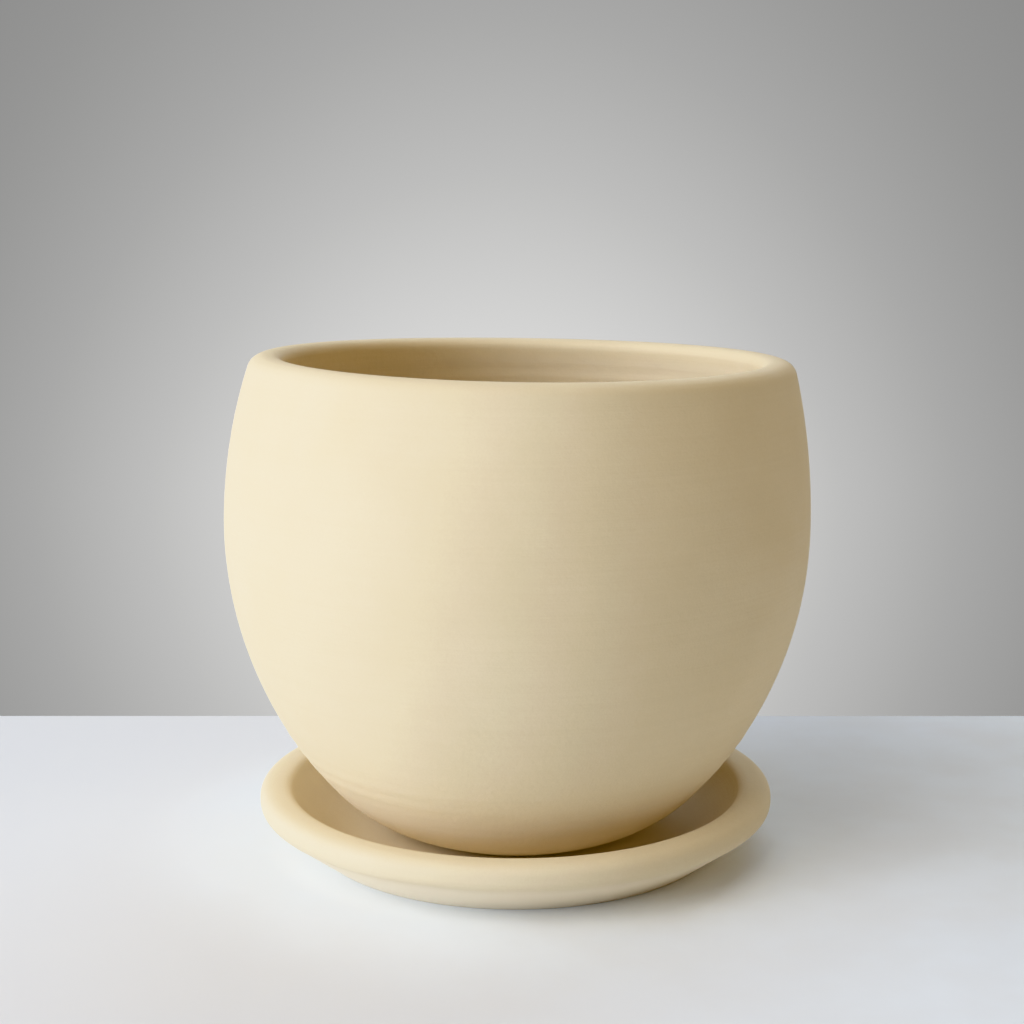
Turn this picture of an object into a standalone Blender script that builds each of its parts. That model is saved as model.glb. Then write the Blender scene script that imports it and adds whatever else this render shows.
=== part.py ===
"""A round stoneware pot for a small tree, standing loose in its own saucer.

Four pieces: the pot, the saucer, the plastic mesh over the pot's drain hole and
the bent wire clip that holds the mesh down. Metres, +Z up. The origin is the
centre of the saucer's foot ring, on the surface that it stands on.
"""

import math

import bmesh
import bpy
from mathutils import Vector

SEGMENTS = 60  # facets round each turned piece
GAP = 0.0003  # clearance where one piece rests on another
MERGE = 0.000001  # points closer than this become one
TURNED_SHARP = math.radians(40.0)  # edges sharper than this are shaded as edges
MESH_SHARP = math.radians(30.0)

# Pot: three tangent arcs make the outside of its wall, and the inside runs parallel to them.
BELLY_RADIUS = 0.0800
BELLY_HEIGHT = 0.0900
RIM_HEIGHT = 0.1355
UPPER_ARC = 0.1512  # from the belly up to the lip
LOWER_ARC = 0.1073  # from the belly down to the turn
TURN_ARC = 0.0462  # the tighter turn under the pot
TURN_ANGLE = math.radians(42.0)  # where the lower arc hands over to the turn
WALL = 0.0085
LIP_CROWN = 0.0034  # the rounded top of the wall is this high
LIP_POWER = 2.5  # 2 is an ellipse; more is squarer
POT_FLOOR = 0.0150  # height of the floor inside
RECESS_HEIGHT = 0.0072  # underside of the floor, inside the foot ring
FOOT_INNER = 0.0250
FOOT_EDGE = 0.0003  # height of the small step round the ground foot ring
DRAIN_RADIUS = 0.0100
DRAIN_ROUND = 0.0012
OUTSIDE_STEPS = (5, 7, 5)  # facets in each of the wall's three arcs
INSIDE_STEPS = (4, 6, 3)
LIP_STEPS = 10
DRAIN_STEPS = 2

# The pot is hand-thrown: its rim is tilted, a little off centre and a little warped.
RIM_TILT = 0.0140  # in radians
TILT_HEADING = math.radians(6.5)  # the lowest side of the rim, from +X towards +Y
TILT_FROM = 0.0170
RIM_SHIFT = 0.0015  # towards +X
RIM_WARP = 0.0003  # the left and right sides stand higher than the front and back
SHIFT_FROM = 0.0800
POT_OFFSET = 0.0004  # the pot stands this far off the saucer's centre

# Saucer: a flat dish whose edge is a thick roll.
SAUCER_FOOT = 0.0570
SAUCER_FOOT_INNER = 0.0480
SAUCER_RECESS = 0.0012
SAUCER_FOOT_ROUND = 0.0005
SAUCER_FOOT_END = math.radians(-30.0)  # where that round runs into the underside
SAUCER_FOOT_STEPS = 2
SAUCER_FLOOR = 0.0045
ROLL_RADIUS = 0.0669  # centre of the roll's section
ROLL_HEIGHT = 0.0131
ROLL_HALF_WIDTH = 0.0048
ROLL_HALF_HEIGHT = 0.0038
ROLL_TOP_POWER = 2.8
ROLL_UNDER_POWER = 2.2
ROLL_START = math.radians(-56.0)  # where the underside runs into the roll
ROLL_END = math.radians(151.5)  # where the roll runs into the dish
ROLL_STEPS = 15
DISH_SLOPE = math.radians(60.0)  # how steep the roll is there
DISH_STEPS = 7

# Drain mesh: square openings between moulded ribs.
MESH_OPENINGS = 9
MESH_PITCH = 0.0030
MESH_RIB = 0.0010
MESH_THICKNESS = 0.0010

# Clip: one length of soft wire, its loops on the mesh and its legs turned out under the pot.
WIRE_RADIUS = 0.0006
LEG_X = 2 * MESH_PITCH
LEG_REACH = 0.0180
LEG_BEND = 0.0008
LEG_STEPS = 4
LOOP_RADIUS = 0.0034
LOOP_HALF_MOUTH = math.radians(20.0)
LOOP_STEPS = 16
BAR_LEAD = 0.0012  # how far the wire runs on past its loop before it turns to the bar
BAR_BEND = 0.0006
BAR_STEPS = 2

CREAM = (0.78, 0.66, 0.44)
SAUCER_CREAM = (0.80, 0.69, 0.48)
BLACK = (0.02, 0.02, 0.02)
WIRE_GREY = (0.66, 0.64, 0.60)

POT_FOOT = SAUCER_FLOOR + GAP


def arc(centre, radius, start, end, steps):
    """Points on a circle in the profile plane, from one angle to another."""
    points = []
    for i in range(steps + 1):
        angle = start + (end - start) * i / steps
        points.append((centre[0] + radius * math.cos(angle), centre[1] + radius * math.sin(angle)))
    return points


def squared(value, power):
    """The signed power that turns a circle's sine or cosine into a superellipse's."""
    return math.copysign(abs(value) ** (2 / power), value)


def wall(inset, top, bottom, steps):
    """The pot's wall from height top to height bottom, inset from the outside; steps per arc."""
    upper = (BELLY_RADIUS - UPPER_ARC, BELLY_HEIGHT)
    lower = (BELLY_RADIUS - LOWER_ARC, BELLY_HEIGHT)
    between = LOWER_ARC - TURN_ARC
    turn = (
        lower[0] + between * math.cos(TURN_ANGLE),
        lower[1] - between * math.sin(TURN_ANGLE),
    )
    top_angle = math.asin((top - upper[1]) / (UPPER_ARC - inset))
    bottom_angle = math.asin((bottom - turn[1]) / (TURN_ARC - inset))
    points = arc(upper, UPPER_ARC - inset, top_angle, 0.0, steps[0])
    points += arc(lower, LOWER_ARC - inset, 0.0, -TURN_ANGLE, steps[1])[1:]
    points += arc(turn, TURN_ARC - inset, -TURN_ANGLE, bottom_angle, steps[2])[1:]
    return points


def lip(steps):
    """The rounded top of the wall, a skewed half superellipse from the inside to the outside."""
    base = RIM_HEIGHT - LIP_CROWN
    outer, inner = (wall(inset, base, POT_FLOOR, (1, 1, 1))[0][0] for inset in (0.0, WALL))
    slope = math.tan(math.asin((base - BELLY_HEIGHT) / UPPER_ARC))
    points = []
    for i in range(steps + 1):
        angle = math.pi * (1 - i / steps)
        across = (outer - inner) / 2 * squared(math.cos(angle), LIP_POWER)
        up = LIP_CROWN * squared(math.sin(angle), LIP_POWER)
        points.append(((outer + inner) / 2 + across - up * slope, base + up))
    return points


def pot_profile():
    """The pot's section as a closed loop, anticlockwise from the foot ring's outer edge."""
    base = RIM_HEIGHT - LIP_CROWN
    outside = wall(0.0, base, POT_FOOT + FOOT_EDGE, OUTSIDE_STEPS)
    inside = wall(WALL, base, POT_FLOOR, INSIDE_STEPS)
    drain_top = (DRAIN_RADIUS + DRAIN_ROUND, POT_FLOOR - DRAIN_ROUND)
    drain_bottom = (DRAIN_RADIUS + DRAIN_ROUND, RECESS_HEIGHT + DRAIN_ROUND)
    half, quarter = math.pi, math.pi / 2
    points = [(outside[-1][0] - FOOT_EDGE, POT_FOOT)]
    points += outside[::-1]
    points += lip(LIP_STEPS)[-2:0:-1]
    points += inside
    points += arc(drain_top, DRAIN_ROUND, quarter, half, DRAIN_STEPS)
    points += arc(drain_bottom, DRAIN_ROUND, half, half + quarter, DRAIN_STEPS)
    points.append((FOOT_INNER - FOOT_EDGE, RECESS_HEIGHT))
    points.append((FOOT_INNER, POT_FOOT))
    return points


def roll(start, end, steps):
    """Part of the saucer's rolled edge, a superellipse that is squarer on top."""
    points = []
    for i in range(steps + 1):
        angle = start + (end - start) * i / steps
        power = ROLL_TOP_POWER if angle > 0 else ROLL_UNDER_POWER
        across = ROLL_HALF_WIDTH * squared(math.cos(angle), power)
        up = ROLL_HALF_HEIGHT * squared(math.sin(angle), power)
        points.append((ROLL_RADIUS + across, ROLL_HEIGHT + up))
    return points


def saucer_profile():
    """The saucer's section, from the axis under the dish round the roll to the axis on top."""
    foot = (SAUCER_FOOT - SAUCER_FOOT_ROUND, SAUCER_FOOT_ROUND)
    rolled = roll(ROLL_START, ROLL_END, ROLL_STEPS)
    edge_x, edge_z = rolled[-1]
    curve = (edge_z - SAUCER_FLOOR) / (1 - math.cos(DISH_SLOPE))
    dish = (edge_x - curve * math.sin(DISH_SLOPE), SAUCER_FLOOR + curve)
    points = [(0.0, SAUCER_RECESS)]
    points.append((SAUCER_FOOT_INNER - SAUCER_RECESS, SAUCER_RECESS))
    points.append((SAUCER_FOOT_INNER, 0.0))
    points += arc(foot, SAUCER_FOOT_ROUND, -math.pi / 2, SAUCER_FOOT_END, SAUCER_FOOT_STEPS)
    points += rolled
    points += arc(dish, curve, DISH_SLOPE - math.pi / 2, -math.pi / 2, DISH_STEPS)[1:]
    points.append((0.0, SAUCER_FLOOR))
    return points


def lean(point):
    """Moves a point of the true round pot to its place on the uneven one."""
    x, y, z = point
    tilt = RIM_TILT * max(z - TILT_FROM, 0.0) / (RIM_HEIGHT - TILT_FROM)
    towards = x * math.cos(TILT_HEADING) + y * math.sin(TILT_HEADING)
    upper = max(z - SHIFT_FROM, 0.0) / (RIM_HEIGHT - SHIFT_FROM)
    warp = RIM_WARP * (x * x - y * y) / (x * x + y * y)
    return x + POT_OFFSET + RIM_SHIFT * upper ** 2, y, z - towards * tilt + warp * upper ** 2


def material(name, colour, roughness, metallic=0.0):
    made = bpy.data.materials.new(name)
    made.use_nodes = True
    shader = made.node_tree.nodes["Principled BSDF"]
    shader.inputs["Base Color"].default_value = (*colour, 1.0)
    shader.inputs["Roughness"].default_value = roughness
    shader.inputs["Metallic"].default_value = metallic
    return made


def add_object(name, data, finish):
    made = bpy.data.objects.new(name, data)
    data.materials.append(finish)
    bpy.context.scene.collection.objects.link(made)
    return made


def finish_mesh(mesh_data, name, sharp_angle):
    """Turns the faces outwards and makes a smooth-shaded mesh of them."""
    bmesh.ops.recalc_face_normals(mesh_data, faces=mesh_data.faces)
    mesh = bpy.data.meshes.new(name)
    mesh_data.to_mesh(mesh)
    mesh_data.free()
    mesh.shade_smooth()
    mesh.set_sharp_from_angle(angle=sharp_angle)
    return mesh


def turned(profile, closed):
    """A profile in the XZ plane turned once round the Z axis."""
    mesh_data = bmesh.new()
    corners = [mesh_data.verts.new((r, 0.0, z)) for r, z in profile]
    pairs = list(zip(corners, corners[1:]))
    if closed:
        pairs.append((corners[-1], corners[0]))
    edges = [mesh_data.edges.new(pair) for pair in pairs]
    bmesh.ops.spin(
        mesh_data,
        geom=corners + edges,
        cent=(0.0, 0.0, 0.0),
        axis=(0.0, 0.0, 1.0),
        angle=2 * math.pi,
        steps=SEGMENTS,
        use_merge=True,
    )
    bmesh.ops.remove_doubles(mesh_data, verts=mesh_data.verts, dist=MERGE)
    return mesh_data


def build_pot(finish):
    mesh_data = turned(pot_profile(), closed=True)
    for vertex in mesh_data.verts:
        vertex.co = lean(vertex.co)
    return add_object("pot_body", finish_mesh(mesh_data, "pot_body", TURNED_SHARP), finish)


def build_saucer(finish):
    mesh_data = turned(saucer_profile(), closed=False)
    return add_object("saucer", finish_mesh(mesh_data, "saucer", TURNED_SHARP), finish)


def build_drain_mesh(finish):
    """A square sheet of ribs, cut from a roll, with an open cell at its centre."""
    lines = []
    for i in range(MESH_OPENINGS + 1):
        middle = (i - MESH_OPENINGS / 2) * MESH_PITCH
        lines += [middle - MESH_RIB / 2, middle + MESH_RIB / 2]
    mesh_data = bmesh.new()
    grid = [[mesh_data.verts.new((x, y, 0.0)) for y in lines] for x in lines]
    for i in range(len(lines) - 1):
        for j in range(len(lines) - 1):
            opening = i % 2 == 1 and j % 2 == 1
            if not opening:
                mesh_data.faces.new(
                    (grid[i][j], grid[i + 1][j], grid[i + 1][j + 1], grid[i][j + 1])
                )
    raised = bmesh.ops.extrude_face_region(mesh_data, geom=list(mesh_data.faces))
    top = [item for item in raised["geom"] if isinstance(item, bmesh.types.BMVert)]
    bmesh.ops.translate(mesh_data, verts=top, vec=(0.0, 0.0, MESH_THICKNESS))
    bmesh.ops.translate(mesh_data, verts=mesh_data.verts, vec=(POT_OFFSET, 0.0, POT_FLOOR + GAP))
    return add_object("drain_mesh", finish_mesh(mesh_data, "drain_mesh", MESH_SHARP), finish)


def rounded(points, radius, steps):
    """The same path with each corner replaced by a bend of the given radius."""
    path = [Vector(points[0])]
    for before, corner, after in zip(points, points[1:], points[2:]):
        here = Vector(corner)
        back = (Vector(before) - here).normalized()
        on = (Vector(after) - here).normalized()
        half = back.angle(on) / 2
        reach = radius / math.tan(half)
        centre = here + (back + on).normalized() * radius / math.sin(half)
        first = here + back * reach - centre
        last = here + on * reach - centre
        for i in range(steps + 1):
            path.append(centre + first.slerp(last, i / steps) * radius)
    path.append(Vector(points[-1]))
    return path


def half_clip():
    """The clip's path from the tip of one leg to the middle of its bar."""
    under = RECESS_HEIGHT - GAP - WIRE_RADIUS
    over = POT_FLOOR + GAP + MESH_THICKNESS + GAP + WIRE_RADIUS
    centre_x = LEG_X + LOOP_RADIUS * math.cos(LOOP_HALF_MOUTH)
    centre_y = -LOOP_RADIUS * math.sin(LOOP_HALF_MOUTH)
    start = math.pi - LOOP_HALF_MOUTH
    loop = []
    for i in range(LOOP_STEPS + 1):
        angle = start - 2 * start * i / LOOP_STEPS
        x = centre_x + LOOP_RADIUS * math.cos(angle)
        y = centre_y + LOOP_RADIUS * math.sin(angle)
        loop.append((x, y, over))
    leg = [(LEG_REACH, 0.0, under), (LEG_X, 0.0, under), (LEG_X, 0.0, over), loop[1]]
    lead = (LEG_X - BAR_LEAD, loop[-1][1] + BAR_LEAD, over)
    bar = [loop[-2], loop[-1], lead, (0.0, 0.0, over)]
    return rounded(leg, LEG_BEND, LEG_STEPS)[:-1] + loop[1:-1] + rounded(bar, BAR_BEND, BAR_STEPS)[1:]


def build_clip(finish):
    one_side = [tuple(point) for point in half_clip()]
    other_side = [(-x, -y, z) for x, y, z in one_side[-2::-1]]
    path = one_side + other_side
    data = bpy.data.curves.new("mesh_clip", "CURVE")
    data.dimensions = "3D"
    data.bevel_depth = WIRE_RADIUS
    data.bevel_resolution = 2
    data.use_fill_caps = True
    spline = data.splines.new("POLY")
    spline.points.add(len(path) - 1)
    for point, (x, y, z) in zip(spline.points, path):
        point.co = (x + POT_OFFSET, y, z, 1.0)
    return add_object("mesh_clip", data, finish)


def main():
    for old in list(bpy.data.objects):
        bpy.data.objects.remove(old)
    cream = material("cream_stoneware", CREAM, 0.62)
    dish_cream = material("cream_stoneware_saucer", SAUCER_CREAM, 0.62)
    black = material("black_plastic", BLACK, 0.55)
    wire = material("soft_wire", WIRE_GREY, 0.38, 1.0)
    build_saucer(dish_cream)
    build_pot(cream)
    build_drain_mesh(black)
    build_clip(wire)


main()
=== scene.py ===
"""Looks for the round stoneware pot, its saucer, drain mesh and clip."""

import math

import bmesh
import bpy
import numpy as np
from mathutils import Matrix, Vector


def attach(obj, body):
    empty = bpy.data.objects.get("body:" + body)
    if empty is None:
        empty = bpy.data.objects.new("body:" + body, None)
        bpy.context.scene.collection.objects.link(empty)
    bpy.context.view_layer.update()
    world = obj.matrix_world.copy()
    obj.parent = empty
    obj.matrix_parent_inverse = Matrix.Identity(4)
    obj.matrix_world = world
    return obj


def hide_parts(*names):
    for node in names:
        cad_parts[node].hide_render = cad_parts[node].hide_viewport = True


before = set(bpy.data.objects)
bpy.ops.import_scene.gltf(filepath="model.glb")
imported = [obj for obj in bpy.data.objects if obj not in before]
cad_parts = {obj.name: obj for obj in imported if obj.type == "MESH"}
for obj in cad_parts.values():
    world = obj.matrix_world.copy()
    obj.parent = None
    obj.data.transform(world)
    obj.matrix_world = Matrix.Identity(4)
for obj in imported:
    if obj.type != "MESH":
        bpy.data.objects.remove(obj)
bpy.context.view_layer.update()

# The shapes, in metres, as the CAD has them. The saucer's come first, as the pot stands on it.
GAP = 0.0003  # clearance where one piece rests on another
SAUCER_FOOT = 0.0570
SAUCER_FOOT_INNER = 0.0480
SAUCER_RECESS = 0.0012
SAUCER_FOOT_ROUND = 0.0005
SAUCER_FOOT_END = math.radians(-30.0)  # where that round runs into the underside
SAUCER_FLOOR = 0.0045
ROLL_RADIUS = 0.0669
ROLL_HEIGHT = 0.0131
ROLL_HALF_WIDTH = 0.0048
ROLL_HALF_HEIGHT = 0.0038
ROLL_TOP_POWER = 2.8
ROLL_UNDER_POWER = 2.2
ROLL_START = math.radians(-56.0)
ROLL_END = math.radians(151.5)
DISH_SLOPE = math.radians(60.0)

# The pot's.
BELLY_RADIUS = 0.0800
BELLY_HEIGHT = 0.0900
RIM_HEIGHT = 0.1355
UPPER_ARC = 0.1512
LOWER_ARC = 0.1073
TURN_ARC = 0.0462
TURN_ANGLE = math.radians(42.0)
WALL = 0.0085
LIP_CROWN = 0.0034
LIP_POWER = 2.5
LIP_INSIDE_POWER = 2.3  # a little rounder than the CAD's inside
POT_FLOOR = 0.0150
RECESS_HEIGHT = 0.0072
POT_FOOT = SAUCER_FLOOR + GAP
FOOT_INNER = 0.0250
FOOT_EDGE = 0.0003
DRAIN_RADIUS = 0.0100
DRAIN_ROUND = 0.0012
RIM_TILT = 0.0140
TILT_HEADING = math.radians(6.5)
TILT_FROM = 0.0170
RIM_SHIFT = 0.0015
RIM_WARP = 0.0003
SHIFT_FROM = 0.0800
POT_OFFSET = 0.0004

# The drain mesh's and the clip's.
MESH_OPENINGS = 9
MESH_PITCH = 0.0030
STRAND_WIDTH = 0.00100
STRAND_HEIGHT = 0.00062
MESH_THICKNESS = 0.0010
MESH_BASE = POT_FLOOR + GAP
WIRE_RADIUS = 0.0006
LEG_X = 2 * MESH_PITCH
LEG_REACH = 0.0180
LEG_BEND = 0.0008
LEG_STEPS = 10
LOOP_RADIUS = 0.0034
LOOP_HALF_MOUTH = math.radians(20.0)
LOOP_STEPS = 48
LEG_JOIN = 3  # the leg's bend runs into the loop this many points from its start
BAR_JOIN = 2  # and the bar's bend leaves it this many points from its end
BAR_LEAD = 0.0012
BAR_BEND = 0.0006
BAR_STEPS = 6

# Marks that the hand and the wheel leave, always cut into the clay.
RING_DEPTH = 0.00025
RING_PITCH = 0.0042
RING_CLIMB = 0.0006  # the rings wind up by this in half a turn
RING_END = 0.0045  # below the rim
RING_END_FADE = 0.004
RING_START_FADE = 0.010
WOBBLE_DEPTH = 0.00008
WOBBLE_END = 0.006  # below the rim
WOBBLE_END_FADE = 0.012
WOBBLE_START_FADE = 0.020
MARKS_START = 0.020
MARKS_EDGE = 0.002  # how far from the middle of the wall they reach full depth
BELLY_CLEAR = 0.012  # the widest part stays as it is for this far up and down

# How finely the shapes are drawn.
SEGMENTS = 288
MERGE = 1e-7  # points closer than this are one point
CROWN_POINTS = 61
PROFILE_STEP = 0.0012
DRAIN_STEP = 0.0004
FOOT_STEP = 0.0002
RECESS_STEP = 0.004
DISH_STEP = 0.002
STRAND_SIDES = 16
STRAND_POWER = 3.0
WIRE_ROUNDNESS = 6  # as Blender counts a curve's bevel
TURNED_SHARP = math.radians(40.0)  # edges sharper than this are shaded as edges
STRAND_SHARP = math.radians(50.0)

# Camera and stage.
CAMERA_PLACE = (-0.00098, -0.4803, 0.1774)
CAMERA_PITCH = 0.1751  # radians below the horizon
CAMERA_LENS = 62.09  # mm
CAMERA_SENSOR = 36.0
WALL_PLACE = 0.1140
WALL_TOP = 2.0
STAGE_REACH = 3.0

# Colours, and the tones that a cream is multiplied by.
CREAM = (0.80, 0.676, 0.458)
SAUCER_CREAM = (0.79, 0.685, 0.486)
MOTTLE_TONES = (0.975, 0.970, 0.955), (1.02, 1.025, 1.035)
CLOUD_TONE = (1.0, 0.975, 0.93)
STREAK_TONE = (0.93, 0.91, 0.86)
GRAIN_TONE = (0.88, 0.85, 0.78)
# painted light: corners found by the occlusion are painted paler and bluer with this tone
PAINTED_CORNER_LIGHT_TONE = (1.11, 1.10, 1.16)
# painted shade: the pot's inside is painted darker and bluer with this tone
PAINTED_INSIDE_SHADE_TONE = (0.88, 0.88, 0.95)
# how far the occlusion looks for the corners that get painted light
PAINTED_CORNER_LIGHT_REACH = 0.016
PAINTED_INSIDE_SHADE_FULL = 0.0080  # below the rim; the inside is painted darker, as shade, from here down
PAINTED_INSIDE_SHADE_NONE = 0.0040  # and none of it from here up
IRON = (0.20, 0.13, 0.07)
RAW_CLAY = (0.56, 0.44, 0.30)
CLAY_TONE = (0.86, 0.84, 0.80)
BARE_EDGE = 0.0008
POT_BARE = 0.0030  # the glaze ends this high above the pot's foot
SAUCER_BARE = 0.0004
SAUCER_PAINTED_BOUNCE_TOP = 0.0086  # the saucer's outer and under faces are painted paler up to this height, as bounce light from the floor
PAINTED_BOUNCE_EDGE = 0.0035
PAINTED_BOUNCE_EDGE_NOISE = 0.0016
# the paler cream of that painted bounce light
PAINTED_BOUNCE_CREAM = (0.92, 0.805, 0.62)
MESH_BLACKS = (0.014, 0.014, 0.015), (0.028, 0.027, 0.026)
SOIL_DUST = (0.21, 0.17, 0.12)
WIRE_GREYS = (0.70, 0.68, 0.64), (0.40, 0.37, 0.33)
WIRE_SPOT = (0.20, 0.17, 0.14)
# Painted light on the floor: darker to the left, lighter and bluer to the right, in place of the
# lamps' uneven fall
PAINTED_FLOOR_LIGHT_LEFT = (0.765, 0.765, 0.775)
PAINTED_FLOOR_LIGHT_RIGHT = (0.87, 0.925, 0.99)
# a paler, bluer middle painted on to lighten the saucer's cast shadow
PAINTED_FLOOR_LIGHT_MIDDLE = (0.90, 0.955, 1.0)
FLOOR_GREY = (0.78, 0.78, 0.78)
PAINTED_FLOOR_LIGHT_SIDES = (-0.12, 0.20)  # where the painted light turns from its left tone to its right
PAINTED_FLOOR_LIGHT_FADE = (0.06, 0.115)  # where the painted light round the saucer fades

# The wall's own light: brightest at one place behind the pot, darker to the corners.
GLOW_PLACE = (-0.0063, 0.0768)
GLOW_SIZE = (0.1011, 0.0882, 0.1138)  # across, above and below
GLOW_POWER = 1.5
WALL_DARK = 0.2744
WALL_GLOW = 0.5538
WALL_TINT = (1.0, 0.998, 0.988)

# Each light: name, place, width, colour, watts. The two strongest are cool and on the left.
AIM = (0.0, 0.0, 0.07)
LIGHTS = (
    ("left_side", (-1.31, -0.35, 0.70), 0.9, (0.68, 0.79, 1.00), 11.8),
    ("left_front", (-1.22, -0.85, 0.28), 0.9, (0.76, 0.84, 1.00), 15.8),
    ("left_high", (-0.87, -0.61, 1.13), 0.9, (1.00, 0.89, 0.65), 2.4),
    ("front_high", (-0.61, -0.87, 1.13), 0.9, (1.00, 0.92, 0.80), 5.6),
    ("right_bounce", (1.40, -0.12, 0.58), 1.0, (1.00, 0.78, 0.50), 3.9),
    ("left_back", (-1.28, 0.46, 0.70), 1.0, (0.88, 0.93, 1.00), 5.6),
    ("back", (0.39, 1.08, 1.03), 1.2, (0.72, 0.84, 1.00), 8.5),
    ("top", (0.00, -0.02, 1.47), 1.2, (1.00, 0.84, 0.64), 2.0),
)
WORLD_COLOUR = (1.0, 0.95, 0.85)
WORLD_STRENGTH = 0.115


def arc(centre, radius, start, end, step=PROFILE_STEP):
    """Points on a circle in the profile plane, about a step apart."""
    steps = max(3, math.ceil(abs(end - start) * radius / step))
    angles = np.linspace(start, end, steps + 1)
    return [(centre[0] + radius * math.cos(a), centre[1] + radius * math.sin(a)) for a in angles]


def line(start, end, step=PROFILE_STEP):
    steps = max(1, math.ceil(math.dist(start, end) / step))
    return [
        (start[0] + (end[0] - start[0]) * i / steps, start[1] + (end[1] - start[1]) * i / steps)
        for i in range(steps + 1)
    ]


def joined(*runs):
    """Runs of points one after another, without the point that two runs share."""
    points = list(runs[0])
    for run in runs[1:]:
        points += run[1:] if math.dist(points[-1], run[0]) < MERGE else run
    return points


def squared(value, power):
    """A cosine or sine made to follow a superellipse."""
    return math.copysign(abs(value) ** (2 / power), value)


def wall(inset, top, bottom):
    """The wall's three tangent arcs, from the top down, this far inside its outer face."""
    upper = (BELLY_RADIUS - UPPER_ARC, BELLY_HEIGHT)
    lower = (BELLY_RADIUS - LOWER_ARC, BELLY_HEIGHT)
    between = LOWER_ARC - TURN_ARC
    turn = (
        lower[0] + between * math.cos(TURN_ANGLE),
        lower[1] - between * math.sin(TURN_ANGLE),
    )
    top_angle = math.asin((top - upper[1]) / (UPPER_ARC - inset))
    bottom_angle = math.asin((bottom - turn[1]) / (TURN_ARC - inset))
    return joined(
        arc(upper, UPPER_ARC - inset, top_angle, 0.0),
        arc(lower, LOWER_ARC - inset, 0.0, -TURN_ANGLE),
        arc(turn, TURN_ARC - inset, -TURN_ANGLE, bottom_angle),
    )


def lip():
    """The rounded top of the wall, a skewed half superellipse from the inside to the outside."""
    base = RIM_HEIGHT - LIP_CROWN
    outer, inner = (wall(inset, base, POT_FLOOR)[0][0] for inset in (0.0, WALL))
    slope = math.tan(math.asin((base - BELLY_HEIGHT) / UPPER_ARC))
    points = []
    for angle in np.linspace(math.pi, 0.0, CROWN_POINTS):
        power = LIP_POWER if math.cos(angle) > 0 else LIP_INSIDE_POWER
        across = (outer - inner) / 2 * squared(math.cos(angle), power)
        up = LIP_CROWN * squared(math.sin(angle), power)
        points.append(((outer + inner) / 2 + across - up * slope, base + up))
    return points


def pot_profile():
    """The pot's section as a closed loop, anticlockwise from the foot ring's outer edge."""
    base = RIM_HEIGHT - LIP_CROWN
    outside = wall(0.0, base, POT_FOOT + FOOT_EDGE)
    inside = wall(WALL, base, POT_FLOOR)
    drain_top = (DRAIN_RADIUS + DRAIN_ROUND, POT_FLOOR - DRAIN_ROUND)
    drain_bottom = (DRAIN_RADIUS + DRAIN_ROUND, RECESS_HEIGHT + DRAIN_ROUND)
    half, quarter = math.pi, math.pi / 2
    foot_edge = (outside[-1][0] - FOOT_EDGE, POT_FOOT)
    recess_edge = (FOOT_INNER - FOOT_EDGE, RECESS_HEIGHT)
    return joined(
        line(foot_edge, outside[-1]),
        outside[::-1],
        lip()[::-1],
        inside,
        line((inside[-1][0], POT_FLOOR), (drain_top[0], POT_FLOOR)),
        arc(drain_top, DRAIN_ROUND, quarter, half, DRAIN_STEP),
        arc(drain_bottom, DRAIN_ROUND, half, half + quarter, DRAIN_STEP),
        line((drain_bottom[0], RECESS_HEIGHT), recess_edge),
        line(recess_edge, (FOOT_INNER, POT_FOOT)),
        line((FOOT_INNER, POT_FOOT), foot_edge)[:-1],
    )


def roll(start, end):
    """Part of the saucer's rolled edge, a superellipse that is squarer on top."""
    points = []
    for angle in np.linspace(start, end, CROWN_POINTS):
        power = ROLL_TOP_POWER if angle > 0 else ROLL_UNDER_POWER
        across = ROLL_HALF_WIDTH * squared(math.cos(angle), power)
        up = ROLL_HALF_HEIGHT * squared(math.sin(angle), power)
        points.append((ROLL_RADIUS + across, ROLL_HEIGHT + up))
    return points


def saucer_profile():
    """The saucer's section, from the axis under the dish round the roll to the axis on top."""
    foot = (SAUCER_FOOT - SAUCER_FOOT_ROUND, SAUCER_FOOT_ROUND)
    edge = arc(foot, SAUCER_FOOT_ROUND, -math.pi / 2, SAUCER_FOOT_END, FOOT_STEP)
    rolled = roll(ROLL_START, ROLL_END)
    edge_x, edge_z = rolled[-1]
    curve = (edge_z - SAUCER_FLOOR) / (1 - math.cos(DISH_SLOPE))
    dish = (edge_x - curve * math.sin(DISH_SLOPE), SAUCER_FLOOR + curve)
    recess_edge = (SAUCER_FOOT_INNER - SAUCER_RECESS, SAUCER_RECESS)
    return joined(
        line((0.0, SAUCER_RECESS), recess_edge, RECESS_STEP),
        line(recess_edge, (SAUCER_FOOT_INNER, 0.0)),
        line((SAUCER_FOOT_INNER, 0.0), (foot[0], 0.0)),
        edge,
        line(edge[-1], rolled[0]),
        rolled,
        arc(dish, curve, DISH_SLOPE - math.pi / 2, -math.pi / 2),
        line((dish[0], SAUCER_FLOOR), (0.0, SAUCER_FLOOR), DISH_STEP),
    )


def lean(points):
    """Moves the points of the true round pot to their places on the uneven one."""
    x, y, z = points.T
    tilt = RIM_TILT * np.maximum(z - TILT_FROM, 0.0) / (RIM_HEIGHT - TILT_FROM)
    towards = x * math.cos(TILT_HEADING) + y * math.sin(TILT_HEADING)
    upper = np.maximum(z - SHIFT_FROM, 0.0) / (RIM_HEIGHT - SHIFT_FROM)
    warp = RIM_WARP * (x * x - y * y) / (x * x + y * y)
    shifted = x + POT_OFFSET + RIM_SHIFT * upper ** 2
    return np.stack([shifted, y, z - towards * tilt + warp * upper ** 2], axis=1)


def smooth_step(value):
    value = np.clip(value, 0.0, 1.0)
    return value * value * (3.0 - 2.0 * value)


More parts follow.
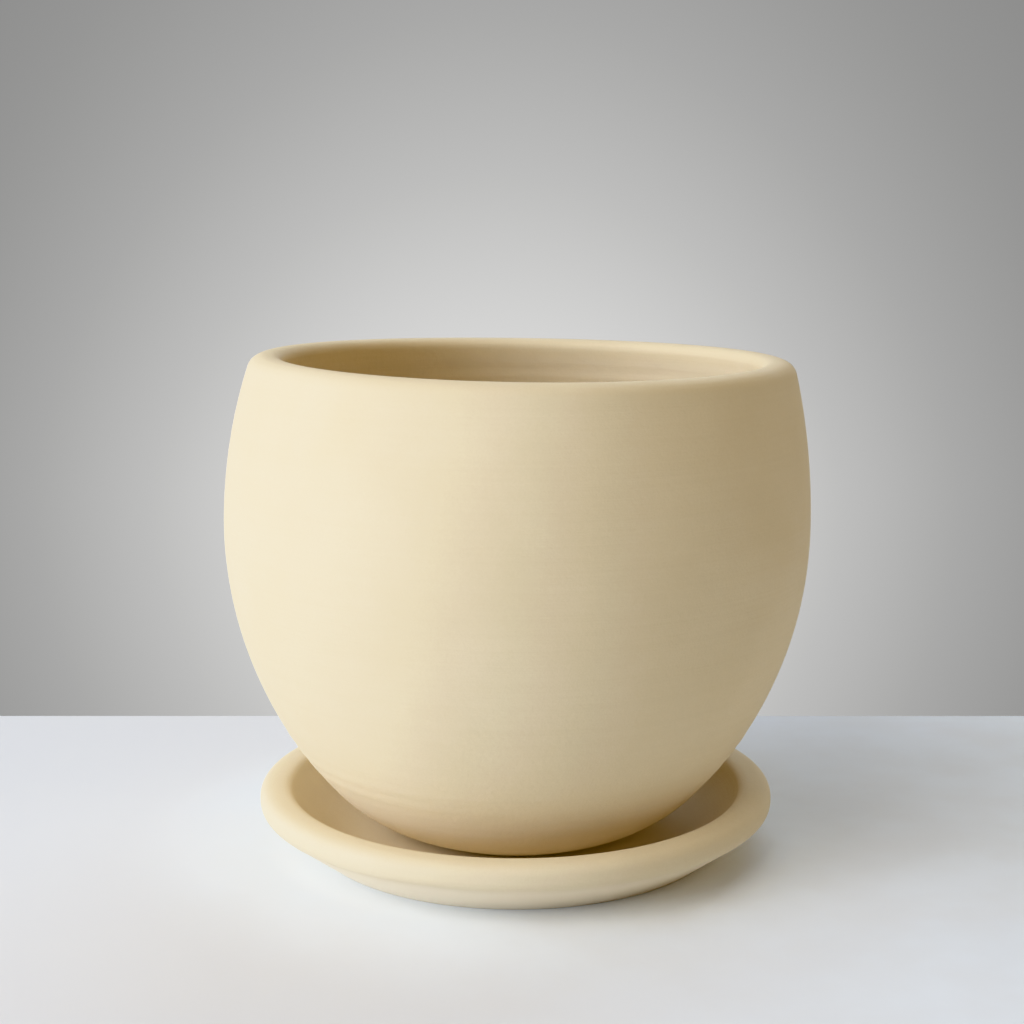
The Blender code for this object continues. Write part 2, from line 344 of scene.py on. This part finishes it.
def thrown(points):
    """The potter's finger rings inside and a slow unevenness outside, then the lean."""
    x, y, z = points.T
    radius = np.hypot(x, y)
    turn = np.arctan2(y, x)
    middle = BELLY_RADIUS - WALL / 2 - np.abs(z - BELLY_HEIGHT) ** 2 / (2 * UPPER_ARC)
    inside = smooth_step((middle - radius) / MARKS_EDGE)
    inside *= smooth_step((z - MARKS_START) / RING_START_FADE)
    inside *= smooth_step((RIM_HEIGHT - RING_END - z) / RING_END_FADE)
    outside = smooth_step((radius - middle) / MARKS_EDGE)
    outside *= smooth_step((z - MARKS_START) / WOBBLE_START_FADE)
    outside *= smooth_step((RIM_HEIGHT - WOBBLE_END - z) / WOBBLE_END_FADE)
    outside *= 1.0 - smooth_step(1.0 - np.abs(z - BELLY_HEIGHT) / BELLY_CLEAR)
    # The waves are in radians per turn and per metre of height, and only spread the marks unevenly.
    climb = z + RING_CLIMB * turn / math.pi
    rings = 0.5 + 0.5 * np.sin(2 * math.pi * climb / RING_PITCH + 1.3 * np.sin(60 * z))
    strength = 0.55 + 0.45 * np.sin(2 * turn + 45 * z)
    uneven = 0.5 + 0.25 * np.sin(2 * turn + 35 * z) + 0.25 * np.sin(3 * turn - 90 * z)
    out = RING_DEPTH * rings * strength * inside - WOBBLE_DEPTH * uneven * outside
    scale = 1.0 + out / np.maximum(radius, MERGE)
    return lean(np.stack([x * scale, y * scale, z], axis=1))


def turned(name, profile, closed, shape=None):
    """A fine mesh of a profile turned round Z; shape moves its points afterwards."""
    profile = np.array(profile)
    rows = len(profile)
    angles = np.arange(SEGMENTS) * 2 * math.pi / SEGMENTS
    radius = profile[:, 0][:, None]
    height = np.repeat(profile[:, 1][:, None], SEGMENTS, axis=1)
    points = np.stack([radius * np.cos(angles), radius * np.sin(angles), height], axis=2)
    points = points.reshape(-1, 3)
    if shape:
        points = shape(points)
    faces = []
    for i in range(rows if closed else rows - 1):
        here, above = i * SEGMENTS, (i + 1) % rows * SEGMENTS
        for k in range(SEGMENTS):
            m = (k + 1) % SEGMENTS
            faces.append((here + k, here + m, above + m, above + k))
    mesh = bpy.data.meshes.new(name)
    mesh.from_pydata(points.tolist(), [], faces)
    if not closed:
        tidy = bmesh.new()
        tidy.from_mesh(mesh)
        bmesh.ops.remove_doubles(tidy, verts=tidy.verts, dist=MERGE)
        tidy.to_mesh(mesh)
        tidy.free()
    mesh.shade_smooth()
    mesh.set_sharp_from_angle(angle=TURNED_SHARP)
    return mesh


class Finish:
    """A material being built: every helper returns the socket that it makes."""

    def __init__(self, name):
        self.material = bpy.data.materials.new(name)
        self.material.use_nodes = True
        self.tree = self.material.node_tree
        self.shader = self.tree.nodes["Principled BSDF"]
        self.place = self.node("ShaderNodeTexCoord").outputs["Object"]

    def node(self, kind, **settings):
        made = self.tree.nodes.new(kind)
        for key, value in settings.items():
            setattr(made, key, value)
        return made

    def put(self, socket, value):
        if isinstance(value, bpy.types.NodeSocket):
            self.tree.links.new(value, socket)
        elif socket.type == "RGBA":
            socket.default_value = (*value, 1.0)
        else:
            socket.default_value = value

    def stretched(self, scale):
        mapping = self.node("ShaderNodeMapping")
        self.put(mapping.inputs["Vector"], self.place)
        self.put(mapping.inputs["Scale"], scale)
        return mapping.outputs["Vector"]

    def noise(self, scale, detail=3.0, rough=0.55, place=None):
        noise = self.node("ShaderNodeTexNoise")
        self.put(noise.inputs["Vector"], place or self.place)
        self.put(noise.inputs["Scale"], scale)
        self.put(noise.inputs["Detail"], detail)
        self.put(noise.inputs["Roughness"], rough)
        return noise.outputs["Fac"]

    def between(self, value, low, high, to_low=0.0, to_high=1.0):
        step = self.node("ShaderNodeMapRange", interpolation_type="SMOOTHSTEP")
        for socket, amount in zip(step.inputs, (value, low, high, to_low, to_high)):
            self.put(socket, amount)
        return step.outputs["Result"]

    def math(self, operation, first, second=0.0):
        step = self.node("ShaderNodeMath", operation=operation)
        self.put(step.inputs[0], first)
        self.put(step.inputs[1], second)
        return step.outputs[0]

    def mix(self, amount, first, second):
        step = self.node("ShaderNodeMix", data_type="RGBA")
        self.put(step.inputs[0], amount)
        self.put(step.inputs[6], first)
        self.put(step.inputs[7], second)
        return step.outputs[2]

    def specks(self, scale, size, share):
        """Round spots in some of the cells of a Voronoi pattern."""
        cells = self.node("ShaderNodeTexVoronoi")
        self.put(cells.inputs["Vector"], self.place)
        self.put(cells.inputs["Scale"], scale)
        chosen = self.node("ShaderNodeSeparateColor")
        self.put(chosen.inputs[0], cells.outputs["Color"])
        near = self.between(cells.outputs["Distance"], size * 0.5, size, 1.0, 0.0)
        picked = self.math("LESS_THAN", chosen.outputs[0], share)
        return self.math("MULTIPLY", near, picked)

    def height(self):
        parts = self.node("ShaderNodeSeparateXYZ")
        self.put(parts.inputs[0], self.place)
        return parts.outputs[2]

    def facing(self, axis):
        """How far the surface faces along one axis, from -1 to 1."""
        parts = self.node("ShaderNodeSeparateXYZ")
        self.put(parts.inputs[0], self.node("ShaderNodeNewGeometry").outputs["Normal"])
        return parts.outputs[axis]

    def outward(self):
        """The distance from the axis times how far the surface faces away from it."""
        flat = self.node("ShaderNodeVectorMath", operation="MULTIPLY")
        self.put(flat.inputs[0], self.place)
        self.put(flat.inputs[1], (1.0, 1.0, 0.0))
        along = self.node("ShaderNodeVectorMath", operation="DOT_PRODUCT")
        self.put(along.inputs[0], flat.outputs["Vector"])
        self.put(along.inputs[1], self.node("ShaderNodeNewGeometry").outputs["Normal"])
        return along.outputs["Value"]

    def crevice(self, distance):
        """1 in the open, 0 deep in a corner."""
        shade = self.node("ShaderNodeAmbientOcclusion", samples=8)
        self.put(shade.inputs["Distance"], distance)
        return shade.outputs["AO"]

    def bump(self, height, distance, before=None):
        step = self.node("ShaderNodeBump")
        self.put(step.inputs["Height"], height)
        self.put(step.inputs["Distance"], distance)
        if before:
            self.put(step.inputs["Normal"], before)
        return step.outputs["Normal"]

    def done(self, colour, roughness, normal, **others):
        self.put(self.shader.inputs["Base Color"], colour)
        self.put(self.shader.inputs["Roughness"], roughness)
        self.put(self.shader.inputs["Normal"], normal)
        for key, value in others.items():
            self.put(self.shader.inputs[key.replace("_", " ")], value)
        return self.material


def scaled(colour, factor):
    return tuple(min(part * by, 1.0) for part, by in zip(colour, factor))


def glazed(made, cream, lines, grain):
    """Cream with mottling, clouds, wheel streaks, grain and rare iron specks."""
    mottle = made.between(made.noise(26.0, 4.0), 0.32, 0.68)
    darker, lighter = (scaled(cream, tone) for tone in MOTTLE_TONES)
    colour = made.mix(mottle, darker, lighter)
    cloud = made.between(made.noise(9.0, 2.0), 0.35, 0.65, 0.0, 0.35)
    colour = made.mix(cloud, colour, scaled(cream, CLOUD_TONE))
    streak = made.between(lines, 0.42, 0.62, 0.0, 0.12)
    colour = made.mix(streak, colour, scaled(cream, STREAK_TONE))
    fine = made.between(grain, 0.40, 0.66, 0.0, 0.14)
    colour = made.mix(fine, colour, scaled(cream, GRAIN_TONE))
    iron = made.math("MULTIPLY", made.specks(95.0, 0.045, 0.09), 0.55)
    return made.mix(iron, colour, IRON)


def painted_light_and_shade(made, colour, cream, painted_inside_shade):
    """The colour with painted light in the corners, paler and bluer where the occlusion finds them,
    and painted shade down inside the pot, darker and bluer.
    """
    # painted light: the corners are painted paler and bluer, in place of bounced light
    corner = made.between(made.crevice(PAINTED_CORNER_LIGHT_REACH), 0.25, 0.85, 0.60, 0.0)
    colour = made.mix(corner, colour, scaled(cream, PAINTED_CORNER_LIGHT_TONE))
    if not painted_inside_shade:
        return colour
    # painted shade: inward faces below the rim are painted darker and bluer
    inside = made.between(made.outward(), -0.050, -0.012, painted_inside_shade, 0.0)
    full, none = RIM_HEIGHT - PAINTED_INSIDE_SHADE_FULL, RIM_HEIGHT - PAINTED_INSIDE_SHADE_NONE
    below = made.between(made.height(), full, none, 1.0, 0.0)
    inside = made.math("MULTIPLY", inside, below)
    return made.mix(inside, colour, scaled(cream, PAINTED_INSIDE_SHADE_TONE))


def painted_bounce_light(made, colour, top):
    """The colour with painted bounce light: faces that look sideways or down are painted paler up to
    this height, along an uneven edge.
    """
    bounce_edge_noise = made.math("MULTIPLY", made.noise(60.0, 3.0), PAINTED_BOUNCE_EDGE_NOISE)
    level = made.math("ADD", made.height(), bounce_edge_noise)
    low = made.between(level, top, top + PAINTED_BOUNCE_EDGE, 1.0, 0.0)
    # painted light: sideways and downward faces are painted paler, in place of light bounced up from
    # the floor
    outward = made.between(made.facing(2), -0.05, 0.25, 0.75, 0.0)
    return made.mix(made.math("MULTIPLY", low, outward), colour, PAINTED_BOUNCE_CREAM)


def stoneware(name, cream, bare_height, painted_bounce_height=0.0, painted_inside_shade=0.0):
    """Matt cream glaze, with raw clay on the foot below bare_height."""
    made = Finish(name)
    lines = made.noise(1.0, 5.0, 0.6, made.stretched((9.0, 9.0, 620.0)))
    grain = made.noise(1900.0, 3.0, 0.6)
    pores = made.noise(620.0, 2.0, 0.5)
    colour = glazed(made, cream, lines, grain)
    colour = painted_light_and_shade(made, colour, cream, painted_inside_shade)
    under = made.between(made.facing(2), -0.995, -0.93, 1.0, 0.0)
    low = made.between(made.height(), bare_height, bare_height + BARE_EDGE, 1.0, 0.0)
    bare = made.math("MULTIPLY", under, low)
    clay = made.mix(made.between(pores, 0.35, 0.65), scaled(RAW_CLAY, CLAY_TONE), RAW_CLAY)
    colour = made.mix(bare, colour, clay)
    if painted_bounce_height:
        colour = painted_bounce_light(made, colour, painted_bounce_height)
    rough = made.between(made.noise(70.0, 4.0), 0.30, 0.70, 0.60, 0.74)
    rough = made.math("ADD", rough, made.math("MULTIPLY", grain, 0.06))
    rough = made.math("ADD", rough, made.math("MULTIPLY", bare, 0.15))
    normal = made.bump(lines, 0.00010)
    normal = made.bump(pores, 0.00006, normal)
    normal = made.bump(grain, 0.00003, normal)
    return made.done(colour, rough, normal, Specular_IOR_Level=0.32)


def plastic():
    """Black polyethylene with dust and a little soil bloom on it."""
    made = Finish("drain_mesh_plastic")
    dust = made.between(made.noise(420.0, 5.0, 0.65), 0.45, 0.75)
    up = made.between(made.facing(2), 0.2, 1.0)
    dust = made.math("MULTIPLY", dust, made.math("MULTIPLY", up, 0.45))
    tone = made.between(made.noise(150.0, 3.0), 0.35, 0.65)
    colour = made.mix(dust, made.mix(tone, *MESH_BLACKS), SOIL_DUST)
    rough = made.between(made.noise(900.0, 3.0), 0.3, 0.7, 0.42, 0.66)
    rough = made.math("ADD", rough, made.math("MULTIPLY", dust, 0.3))
    return made.done(colour, rough, made.bump(made.noise(2600.0, 3.0), 0.00003))


def wire():
    """Dull soft wire with uneven tarnish, dark spots and a slightly rough surface."""
    made = Finish("clip_wire")
    tarnish = made.between(made.noise(260.0, 5.0, 0.6), 0.42, 0.68)
    spots = made.math("MULTIPLY", made.specks(900.0, 0.22, 0.18), 0.6)
    colour = made.mix(spots, made.mix(tarnish, *WIRE_GREYS), WIRE_SPOT)
    rough = made.between(made.noise(700.0, 4.0), 0.3, 0.7, 0.30, 0.52)
    rough = made.math("ADD", rough, made.math("MULTIPLY", tarnish, 0.15))
    normal = made.bump(made.noise(1500.0, 3.0), 0.00004)
    return made.done(colour, rough, normal, Metallic=1.0)


def add_piece(name, data, body, node, finish):
    data.materials.append(finish)
    piece = bpy.data.objects.new(name, data)
    bpy.context.scene.collection.objects.link(piece)
    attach(piece, body)
    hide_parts(node)


def strand(mesh_data, along_x, offset, low, reach):
    """One moulded strand of the drain mesh: a bar of rounded section."""
    ends = []
    for end in (-reach, reach):
        ring = []
        for i in range(STRAND_SIDES):
            angle = 2 * math.pi * (i + 0.5) / STRAND_SIDES
            across = offset + STRAND_WIDTH / 2 * squared(math.cos(angle), STRAND_POWER)
            up = low + STRAND_HEIGHT / 2 * (1 + squared(math.sin(angle), STRAND_POWER))
            place = (end, across, up) if along_x else (across, end, up)
            ring.append(mesh_data.verts.new(place))
        ends.append(ring)
    for i in range(STRAND_SIDES):
        j = (i + 1) % STRAND_SIDES
        mesh_data.faces.new((ends[0][i], ends[0][j], ends[1][j], ends[1][i]))
    mesh_data.faces.new(ends[0])
    mesh_data.faces.new(ends[1])


def drain_mesh():
    """Two layers of crossing strands, melted together where they cross."""
    mesh_data = bmesh.new()
    reach = (MESH_OPENINGS * MESH_PITCH + STRAND_WIDTH) / 2
    for i in range(MESH_OPENINGS + 1):
        middle = (i - MESH_OPENINGS / 2) * MESH_PITCH
        strand(mesh_data, True, middle, MESH_BASE, reach)
        strand(mesh_data, False, middle, MESH_BASE + MESH_THICKNESS - STRAND_HEIGHT, reach)
    bmesh.ops.recalc_face_normals(mesh_data, faces=mesh_data.faces)
    bmesh.ops.translate(mesh_data, verts=mesh_data.verts, vec=(POT_OFFSET, 0.0, 0.0))
    mesh = bpy.data.meshes.new("drain_net")
    mesh_data.to_mesh(mesh)
    mesh_data.free()
    mesh.shade_smooth()
    mesh.set_sharp_from_angle(angle=STRAND_SHARP)
    return mesh


def rounded(points, radius, steps):
    """The same path with each corner replaced by a bend of the given radius."""
    path = [Vector(points[0])]
    for before, corner, after in zip(points, points[1:], points[2:]):
        here = Vector(corner)
        back = (Vector(before) - here).normalized()
        on = (Vector(after) - here).normalized()
        half = back.angle(on) / 2
        reach = radius / math.tan(half)
        centre = here + (back + on).normalized() * radius / math.sin(half)
        first = here + back * reach - centre
        last = here + on * reach - centre
        for i in range(steps + 1):
            path.append(centre + first.slerp(last, i / steps) * radius)
    path.append(Vector(points[-1]))
    return path


def half_clip():
    """The clip's path from the tip of one leg to the middle of its bar."""
    under = RECESS_HEIGHT - GAP - WIRE_RADIUS
    over = POT_FLOOR + GAP + MESH_THICKNESS + GAP + WIRE_RADIUS
    centre_x = LEG_X + LOOP_RADIUS * math.cos(LOOP_HALF_MOUTH)
    centre_y = -LOOP_RADIUS * math.sin(LOOP_HALF_MOUTH)
    start = math.pi - LOOP_HALF_MOUTH
    loop = []
    for i in range(LOOP_STEPS + 1):
        angle = start - 2 * start * i / LOOP_STEPS
        x = centre_x + LOOP_RADIUS * math.cos(angle)
        y = centre_y + LOOP_RADIUS * math.sin(angle)
        loop.append((x, y, over))
    leg = [(LEG_REACH, 0.0, under), (LEG_X, 0.0, under), (LEG_X, 0.0, over), loop[LEG_JOIN]]
    lead = (LEG_X - BAR_LEAD, loop[-1][1] + BAR_LEAD, over)
    bar = [loop[-BAR_JOIN], loop[-1], lead, (0.0, 0.0, over)]
    path = rounded(leg, LEG_BEND, LEG_STEPS)[:-1]
    path += loop[LEG_JOIN:-BAR_JOIN]
    return path + rounded(bar, BAR_BEND, BAR_STEPS)


def clip():
    one_side = [tuple(point) for point in half_clip()]
    path = one_side + [(-x, -y, z) for x, y, z in one_side[-2::-1]]
    data = bpy.data.curves.new("wire_clip", "CURVE")
    data.dimensions = "3D"
    data.bevel_depth = WIRE_RADIUS
    data.bevel_resolution = WIRE_ROUNDNESS
    data.use_fill_caps = True
    spline = data.splines.new("POLY")
    spline.points.add(len(path) - 1)
    for point, (x, y, z) in zip(spline.points, path):
        point.co = (x + POT_OFFSET, y, z, 1.0)
    return data


def build_pieces():
    glaze = stoneware("pot_stoneware", CREAM, POT_FOOT + POT_BARE, painted_inside_shade=0.34)
    dish_glaze = stoneware("saucer_stoneware", SAUCER_CREAM, SAUCER_BARE, SAUCER_PAINTED_BOUNCE_TOP)
    pot = turned("pot", pot_profile(), True, thrown)
    add_piece("pot", pot, "pot", "pot_body", glaze)
    dish = turned("dish", saucer_profile(), False)
    add_piece("dish", dish, "saucer", "saucer", dish_glaze)
    add_piece("drain_net", drain_mesh(), "pot", "drain_mesh", plastic())
    add_piece("wire_clip", clip(), "pot", "mesh_clip", wire())


def stage_plane(name, corners):
    mesh = bpy.data.meshes.new(name)
    mesh.from_pydata(corners, [], [(0, 1, 2, 3)])
    plane = bpy.data.objects.new(name, mesh)
    bpy.context.scene.collection.objects.link(plane)
    return plane


def floor_with_painted_light():
    """Pale card with painted light: darker to the left, lighter and bluer to the right, and paler and
    bluer round the saucer.
    """
    made = Finish("floor")
    parts = made.node("ShaderNodeSeparateXYZ")
    made.put(parts.inputs[0], made.place)
    # painted light: the floor turns from a darker left tone to a lighter, bluer right one
    across = made.between(parts.outputs[0], *PAINTED_FLOOR_LIGHT_SIDES)
    colour = made.mix(across, PAINTED_FLOOR_LIGHT_LEFT, PAINTED_FLOOR_LIGHT_RIGHT)
    away = made.node("ShaderNodeVectorMath", operation="LENGTH")
    made.put(away.inputs[0], made.place)
    # painted light: round the saucer the floor is painted paler and bluer, lightening its cast shadow
    near = made.between(away.outputs["Value"], *PAINTED_FLOOR_LIGHT_FADE, 0.8, 0.0)
    colour = made.mix(near, colour, PAINTED_FLOOR_LIGHT_MIDDLE)
    tone = made.between(made.noise(30.0, 3.0), 0.3, 0.7, 0.0, 0.3)
    colour = made.mix(tone, colour, FLOOR_GREY)
    normal = made.bump(made.noise(900.0, 3.0), 0.00002)
    return made.done(colour, 0.75, normal, Specular_IOR_Level=0.2)


def wall_finish():
    """A grey wall that glows with painted light though it is no lamp, brightest behind the pot, and
    is clear from behind.
    """
    made = Finish("backdrop")
    parts = made.node("ShaderNodeSeparateXYZ")
    made.put(parts.inputs[0], made.place)
    sideways = made.math("SUBTRACT", parts.outputs[0], GLOW_PLACE[0])
    across = made.math("DIVIDE", sideways, GLOW_SIZE[0])
    rise = made.math("SUBTRACT", parts.outputs[2], GLOW_PLACE[1])
    above = made.math("DIVIDE", made.math("MAXIMUM", rise, 0.0), GLOW_SIZE[1])
    below = made.math("DIVIDE", made.math("MINIMUM", rise, 0.0), GLOW_SIZE[2])
    far = made.math("ADD", made.math("MULTIPLY", across, across), made.math("MULTIPLY", below, below))
    far = made.math("ADD", far, made.math("POWER", above, GLOW_POWER))
    glow = made.math("EXPONENT", made.math("MULTIPLY", far, -0.5))
    glow = made.math("ADD", WALL_DARK, made.math("MULTIPLY", glow, WALL_GLOW))
    # painted light: the wall glows by emission, a pool brightest behind the pot
    light = made.node("ShaderNodeEmission")
    made.put(light.inputs["Color"], WALL_TINT)
    made.put(light.inputs["Strength"], glow)
    clear = made.node("ShaderNodeBsdfTransparent")
    side = made.node("ShaderNodeNewGeometry").outputs["Backfacing"]
    choice = made.node("ShaderNodeMixShader")
    made.put(choice.inputs[0], side)
    made.tree.links.new(light.outputs[0], choice.inputs[1])
    made.tree.links.new(clear.outputs[0], choice.inputs[2])
    made.tree.links.new(choice.outputs[0], made.tree.nodes["Material Output"].inputs[0])
    made.tree.nodes.remove(made.shader)
    return made.material


def build_stage():
    corners = ((-1, -1), (1, -1), (1, 1), (-1, 1))
    floor = stage_plane("floor", [(STAGE_REACH * x, STAGE_REACH * y, 0) for x, y in corners])
    floor.data.materials.append(floor_with_painted_light())
    low = [(STAGE_REACH * x, WALL_PLACE, 0) for x in (-1, 1)]
    high = [(STAGE_REACH * x, WALL_PLACE, WALL_TOP) for x in (1, -1)]
    backdrop = stage_plane("backdrop", low + high)
    backdrop.visible_shadow = False
    backdrop.visible_diffuse = False
    backdrop.visible_glossy = False
    backdrop.data.materials.append(wall_finish())


def area_light(name, place, width, colour, power):
    data = bpy.data.lights.new(name, "AREA")
    data.shape = "SQUARE"
    data.size = width
    data.color = colour
    data.energy = power
    light = bpy.data.objects.new(name, data)
    light.location = place
    aim = Vector(AIM) - Vector(place)
    light.rotation_euler = aim.to_track_quat("-Z", "Y").to_euler()
    light.visible_camera = False
    bpy.context.scene.collection.objects.link(light)


def build_lights():
    for light in LIGHTS:
        area_light(*light)
    world = bpy.data.worlds.new("world")
    world.use_nodes = True
    background = world.node_tree.nodes["Background"]
    background.inputs["Color"].default_value = (*WORLD_COLOUR, 1)
    background.inputs["Strength"].default_value = WORLD_STRENGTH
    bpy.context.scene.world = world


def build_camera():
    data = bpy.data.cameras.new("camera")
    data.lens = CAMERA_LENS
    data.sensor_width = CAMERA_SENSOR
    camera = bpy.data.objects.new("camera", data)
    camera.location = CAMERA_PLACE
    camera.rotation_euler = (math.pi / 2 - CAMERA_PITCH, 0, 0)
    bpy.context.scene.collection.objects.link(camera)
    bpy.context.scene.camera = camera


bpy.context.scene.view_settings.view_transform = "Khronos PBR Neutral"
build_pieces()
build_stage()
build_lights()
build_camera()
